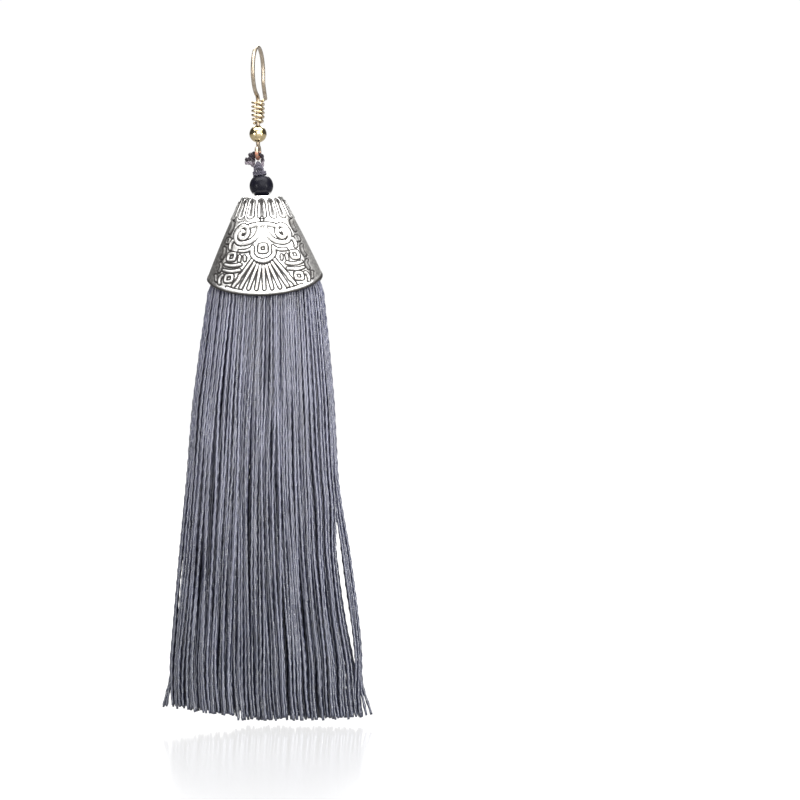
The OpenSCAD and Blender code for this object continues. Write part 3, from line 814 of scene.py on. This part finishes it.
raised = 1 - step_up(line_off, -0.16, 0.06)
petal_raised = 1 - step_up(petal_off, -0.14, 0.06)
petal_hollow = 1 - step_up(petal_off, -0.42, -0.12)
groove = np.exp(-((line_off - 0.13) / 0.13) ** 2)
# the dark beside the lines is fainter in a patch in the middle of each face
middle_fade = np.exp(-(half_w * oval_x / MIDDLE_FADE_W) ** 2 - ((wall_depth - MIDDLE_FADE_DEPTH) / MIDDLE_FADE_H) ** 2)
petal_groove = np.exp(-((petal_off - 0.08) / 0.1) ** 2)
band = 1 - step_up(to_rim, RIM_BAND_H - 0.08, RIM_BAND_H + 0.1)
band = band * (1 - 0.85 * step_up(np.abs(oval_x), 0.6, 0.85))
rim_near = np.clip(1 - to_rim / RIM_ROUND, 0, 1)
top_near = np.clip(1 - wall_depth / TOP_ROUND, 0, 1)
rim_round = RIM_ROUND * (1 - np.sqrt(np.clip(1 - rim_near ** 2, 0, 1)))
top_round = TOP_ROUND * (1 - np.sqrt(np.clip(1 - top_near ** 2, 0, 1)))
relief = (RELIEF_H * raised * (1 - band) + 0.45 * RELIEF_H * petal_raised - 0.12 * petal_hollow
          + RELIEF_H * band - GROOVE * groove * (1 - band) - GROOVE * petal_groove
          - rim_round - top_round)
petal_tops = (petal_raised * (1.0 - step_up(wall_depth, 0.9, 1.9))
              + (0.86 - 0.22 * petal_share) * petal_hollow)
# painted shadow: a dark line along the rim's lower edge
rim_edge_painted_shadow = np.exp(-(to_rim / (0.58 + 0.3 * oval_x ** 6)) ** 2) * (0.84 + 0.16 * np.abs(oval_x))
# the flanks are dark partly with oxidised dulling and partly as painted shade for the darker sides they
# reflect, a little more on the left
flank_oxide_and_shade = (step_up(np.abs(oval_x), 0.64, 0.82)[None, :] * step_up(wall_depth, 0.5, 5.0)
         * (0.66 - 0.035 * oval_x))
# painted shade: the left of each face is darkened, as the light falls from the right
left_painted_shade = 0.52 * step_up(-oval_x, 0.3, 0.7)[None, :] * step_up(wall_depth, 3.0, 8.0)
# the rim band's ends take the flanks' dark, oxidised dulling and painted shade, more on the left
rim_ends_oxide_and_shade = band * (0.58 * step_up(-oval_x, 0.5, 0.78) + 0.5 * step_up(oval_x, 0.74, 0.95))
# the dark beside the lines grows towards the left as painted shade
line_dark = (1.3 - 0.25 * oval_x - 0.85 * middle_fade) * groove * (1 - band)
dark = np.maximum.reduce([
    line_dark, 1.2 * petal_groove, petal_tops, rim_edge_painted_shadow, flank_oxide_and_shade, left_painted_shade, rim_ends_oxide_and_shade])

wall_flat = np.stack([half_w * oval_x, half_d * oval_y, -wall_depth], axis=-1)
around = np.roll(wall_flat, -1, axis=1) - np.roll(wall_flat, 1, axis=1)
facing = np.cross(np.gradient(wall_flat, axis=0), around)
facing /= np.linalg.norm(facing, axis=-1)[..., None]
wall = wall_flat + relief[..., None] * facing


def level_ring(depth, inset):
    """One plain ring of the cap: the oval at a depth, drawn in by an inset."""
    w, d = cap_half(depth)
    return np.stack([(w - inset) * oval_x, (d - inset) * oval_y, -depth + 0.0 * oval_x], axis=-1)


hole_x, hole_y = CAP_HOLE_R * np.cos(oval_turn), CAP_HOLE_R * np.sin(oval_turn)
hole_out = np.stack([hole_x, hole_y, 0.0 * hole_x], axis=-1)
hole_in = hole_out - [0.0, 0.0, CAP_WALL]
inner = [level_ring(CAP_WALL + s * (rim_depth(oval_x) - CAP_WALL), CAP_WALL)
         for s in (1.0, 0.9, 0.75, 0.5, 0.25, 0.0)]
collar_edge = 0.93 * wall[0] + 0.07 * hole_out
rings = [hole_in, hole_out, collar_edge, *wall, *inner]
ring_dark = np.concatenate([np.full((3, cap_sides), 0.1), dark, np.full((len(inner), cap_sides), 0.7)])
cap_points = np.array(rings).reshape(-1, 3)
cap_points = hung(cap_points[:, 0], cap_points[:, 1], -cap_points[:, 2], CAP_LEAN)
row, step = np.arange(len(rings))[:, None], np.arange(cap_sides)[None, :]
below, beside = (row + 1) % len(rings), (step + 1) % cap_sides
cap_quads = np.stack([row * cap_sides + step, below * cap_sides + step,
                      below * cap_sides + beside, row * cap_sides + beside], axis=-1).reshape(-1, 4)

old_silver, cap_mm = open_material("old_silver_plate")
cast_skin = cap_mm.grain(2.2, 5.0)
tarnish = cap_mm.grain(0.45, 4.0).within(0.42, 0.75)
# the dark mark holds the oxidised dark of the hollows and the painted shade set above
oxide_and_shade_mark = cap_mm.make("ShaderNodeAttribute", {"attribute_name": "dark"}, {}, 2)
oxide_and_painted_shade = (oxide_and_shade_mark + (cast_skin - 0.5) * 0.25).within(0.12, 0.8)
silver = tarnish.tint((0.9, 0.89, 0.87, 1.0), (0.76, 0.74, 0.7, 1.0))
close_material(
    old_silver, Base_Color=oxide_and_painted_shade.tint(silver, (0.016, 0.014, 0.013, 1.0)), Metallic=1.0 - oxide_and_painted_shade * 0.6,
    Roughness=cast_skin * 0.14 + oxide_and_painted_shade * 0.3 + 0.17, Normal=cast_skin.bump(0.02, 0.35))
cap = new_piece("cap_cast", cap_points, cap_quads, no_fans, old_silver, dark=ring_dark.ravel())
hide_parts("cap")
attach(cap, "drop")

# Fringe: long two-ply viscose threads, gathered inside the cap and cut off level with the
# left a little short. They hang in three close layers round a loose core, drift apart
# towards their ends, and a few stray at both edges and leave a slit near the right one.
FRINGE_LEN = 90.4
FRINGE_W, FRINGE_DEPTH = 35.4, 14.4
LEFT_RISE = 1.6
THREAD_R = 0.29
THREAD_PITCH = 4.2
THREAD_FIBRES = 8.0
DARKER_FROM, DARKER_TO = -44.0, -116.0
ROW_STEP = 0.46
HEAD_DEPTH = 10.0
HEAD_PLAY = 0.2
OUTER, SECOND, THIRD, CORE = 1.0, 0.9, 0.8, 0.56
LOCKS = 14
SPACING_W, SPACING_DEPTH = 13.0, 5.8
FACING_W, FACING_DEPTH = 15.0, 6.5
UNEVEN_ENDS = 0.75
ENDS_DRAWN_IN = 0.058
SLIT_AT, SLIT_LEFT_PULL, SLIT_RIGHT_PULL = 0.94, 0.058, 0.01
EDGE_AT, EDGE_PULL, EDGE_EXTRA = 0.985, 0.03, 0.035
LOBES = np.array([1.0, 0.77, 0.77, 1.0, 0.77, 0.77])
STRAYS = np.array([-2.0, -1.35, 0.8, 1.6])
share_rows, width_rows, depth_rows, shift_rows = np.array([
    [0.03, 0.592, 0.66, -0.002],
    [0.12, 0.637, 0.70, -0.003],
    [0.25, 0.697, 0.76, -0.003],
    [0.43, 0.747, 0.82, -0.001],
    [0.62, 0.833, 0.88, 0.009],
    [0.81, 0.920, 0.94, 0.020],
    [0.93, 0.966, 0.98, 0.022],
    [1.00, 1.000, 1.00, 0.034],
]).T
fringe_hang = FRINGE_LEN - CAP_FRONT_H
inside_w, inside_d = (half - CAP_WALL - HEAD_PLAY
                      for half in cap_half(np.array([HEAD_DEPTH, CAP_SIDE_H])))
rim_w = inside_w[1] + 1.25 * CAP_WALL
rim_d = cap_half(CAP_FRONT_H)[1] - CAP_WALL - HEAD_PLAY
table_depth = np.concatenate([
    [HEAD_DEPTH, CAP_SIDE_H, CAP_FRONT_H - 1.4], CAP_FRONT_H + share_rows * fringe_hang])
table_w = np.concatenate([inside_w, [rim_w], width_rows * FRINGE_W / 2])
table_d = np.concatenate([inside_d, [rim_d], depth_rows * FRINGE_DEPTH / 2])
table_shift = np.concatenate([[0.0, 0.0, 0.0], shift_rows * FRINGE_W])
fine_depth = np.linspace(HEAD_DEPTH, FRINGE_LEN, 400)
soft_window = np.ones(11) / 11


def eased(values):
    """A row of the fringe's table at fine depths, with its corners averaged away."""
    fine = np.interp(fine_depth, table_depth, values)
    return np.convolve(np.pad(fine, 5, mode="edge"), soft_window, mode="valid")


fringe_w, fringe_d, fringe_shift = eased(table_w), eased(table_d), eased(table_shift)
dice = np.random.default_rng(7)


def even_round(count, wide, deep):
    """Places round an oval at even distances along it, each moved a little at random."""
    turn = np.linspace(0.0, 2 * np.pi, 2000)
    x = np.sign(np.cos(turn)) * np.abs(np.cos(turn)) ** (2 / OVAL_POWER)
    y = np.sign(np.sin(turn)) * np.abs(np.sin(turn)) ** (2 / OVAL_POWER)
    run = np.concatenate([[0.0], np.cumsum(np.hypot(np.diff(x) * wide, np.diff(y) * deep))])
    spots = (np.arange(count) + dice.uniform(-0.22, 0.22, count)) * run[-1] / count % run[-1]
    return np.interp(spots, run, x), np.interp(spots, run, y)


def drift(count, rows, amount, waves):
    """Slow wander of threads: sines of the hanging share with random phases, less for the
    shorter waves, nothing at the rim and most below the middle."""
    share = np.linspace(0.0, 1.0, rows)[None, :]
    sway = sum(np.sin(2 * np.pi * (share * wave + dice.uniform(0, 1, (count, 1)))) * waves[0] / wave
               for wave in waves)
    return amount * sway * step_up(share, 0.05, 0.5)


def hang_threads(count, layer, rows, wander, lock_wander, dip):
    """Paths of one layer of threads. Each keeps its place on a share of the fringe's oval,
    slides along it with its own wander and its lock's, dips under its neighbours here and
    there, and leaves the slit near the right edge open. The outermost of the outer layer
    stray from the rest at their ends."""
    oval_u, oval_v = even_round(count, SPACING_W, SPACING_DEPTH)
    side = layer * oval_u
    ends = FRINGE_LEN - 0.5 - UNEVEN_ENDS * dice.uniform(0.0, 1.0, count) ** 1.5
    ends -= 0.7 * step_up(-side, 0.28, 0.36) + LEFT_RISE * np.clip(-side - 0.33, 0, 1)
    share = np.linspace(0.0, 1.0, rows)[None, :]
    depth = HEAD_DEPTH + (ends[:, None] - HEAD_DEPTH) * share
    hanging = np.clip((depth - CAP_FRONT_H) / fringe_hang, 0.0, 1.0)
    bound = 1 - ENDS_DRAWN_IN * step_up(hanging, 0.84, 1.0)
    w = np.interp(depth, fine_depth, fringe_w) - THREAD_R
    d = np.interp(depth, fine_depth, fringe_d) - THREAD_R
    shift = np.interp(depth, fine_depth, fringe_shift)
    slit = step_up(hanging, 0.45, 0.62) * (1 - step_up(hanging, 0.7, 0.95))
    drawn = np.where(side < SLIT_AT, SLIT_LEFT_PULL * step_up(side, 0.3, SLIT_AT), -SLIT_RIGHT_PULL)
    drawn[side > EDGE_AT] = -EDGE_PULL
    drawn[np.argsort(side)[-1:]] -= EDGE_EXTRA * (layer == SECOND)
    x = w * (bound * side[:, None] - slit * drawn[:, None])
    y = d * layer * oval_v[:, None]
    out = np.column_stack([oval_u / FACING_W, oval_v / FACING_DEPTH])
    out = out / np.linalg.norm(out, axis=1)[:, None]
    locks = drift(LOCKS, rows, lock_wander, (0.7, 1.3))[np.arange(count) * LOCKS // count]
    slide = locks + drift(count, rows, wander, (0.7, 1.5))
    press = dip * (dice.uniform(0.0, 1.4, (count, 1)) + drift(count, rows, 0.35, (2.1, 4.7, 9.3)))
    press *= 1 - 0.75 * np.abs(out[:, :1])
    if layer == OUTER:
        outermost = np.argsort(side)[[0, 1, -2, -1]]
        press[outermost] = 0.0
        x[outermost] += STRAYS[:, None] * step_up(hanging[outermost], 0.88, 1.0)
    x = x - out[:, 1:] * slide - out[:, :1] * press
    y = y + out[:, :1] * slide - out[:, 1:] * press
    lean = CAP_LEAN * (1 - hanging) ** 4
    return hung(shift + x, y, depth, lean), dice.uniform(0.0, 1.0, count)


def thread_piece(name, paths, tones, sides, lobes, finish):
    """Threads as one piece: each path carries a two-lobed section that turns once in a
    pitch, with its own tone."""
    parts, marks = [], []
    for path, tone in zip(paths, tones):
        run = np.linalg.norm(np.diff(path, axis=0), axis=1).sum()
        spin = 2 * np.pi * (np.arange(len(path)) * run / (len(path) - 1) / THREAD_PITCH + tone)
        reach = THREAD_R * np.ones(len(path))
        reach[-1] *= 0.82
        parts.append(tube(path, reach, np.array([0.0, 1.0, 0.0]), sides, spin=spin, outline=lobes))
        marks.append(np.full(len(parts[-1][0]), tone))
    points, quads, fans, uv = joined(parts)
    piece = new_piece(name, points, quads, fans, finish, uv, tone=np.concatenate(marks))
    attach(piece, "drop")
    return piece


slate, thread_mm = open_material("slate_viscose_thread")
thread_strip = thread_mm.make("ShaderNodeTexCoord", {}, {}, "UV")
thread_wave = (thread_strip.split(0) * THREAD_FIBRES
               - thread_strip.split(1) * (THREAD_FIBRES / THREAD_PITCH))
thread_fibre = thread_wave.maths("SINE", (thread_wave + thread_mm.grain(1.2)) * (2 * np.pi)) * 0.5 + 0.5
thread_tone = thread_mm.make("ShaderNodeAttribute", {"attribute_name": "tone"}, {}, 2)
# painted shade: the threads are painted darker from the fringe's middle down to their ends
thread_low_painted_shade = thread_mm.split(2).within(DARKER_FROM, DARKER_TO)
# painted shade: the grooves between the two plies are painted darker than the plies
ply_groove_painted_shade = thread_wave.maths("COSINE", thread_strip.split(0) * (4 * np.pi)) * 0.5 + 0.5
thread_shade = thread_tone * 0.4 + ply_groove_painted_shade * 0.35 + thread_mm.grain(0.35).within(0.3, 0.7) * 0.25
thread_deep = thread_low_painted_shade.tint((0.005, 0.006, 0.016, 1.0), (0.003, 0.005, 0.013, 1.0))
thread_pale = thread_low_painted_shade.tint((0.127, 0.13, 0.184, 1.0), (0.044, 0.049, 0.081, 1.0))
close_material(
    slate, Base_Color=thread_shade.tint(thread_deep, thread_pale), Roughness=0.3 - thread_fibre * 0.1,
    Normal=thread_fibre.bump(0.008, 0.5), Specular_IOR_Level=0.9)

fine_rows = int(fringe_hang / ROW_STEP) + 24
outer, outer_tones = hang_threads(116, OUTER, fine_rows, 0.32, 0.2, 0.6)
second, second_tones = hang_threads(104, SECOND, fine_rows, 0.3, 0.2, 0.5)
third, third_tones = hang_threads(96, THIRD, 120, 0.3, 0.3, 0.4)
core, core_tones = hang_threads(84, CORE, 56, 0.25, 0.1, 0.3)
front_outer = outer[:, -1, 1] < 0
front_second = second[:, -1, 1] < 0
fringe = thread_piece("fringe_front_outer", outer[front_outer], outer_tones[front_outer], 6, LOBES, slate)
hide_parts("tassel")
thread_piece("fringe_back_outer", outer[~front_outer], outer_tones[~front_outer], 6, LOBES, slate)
thread_piece("fringe_front_second", second[front_second], second_tones[front_second], 6, LOBES, slate)
thread_piece("fringe_back_second", second[~front_second], second_tones[~front_second], 6, LOBES, slate)
thread_piece("fringe_third", third, third_tones, 5, None, slate)
thread_piece("fringe_core", core, core_tones, 5, None, slate)
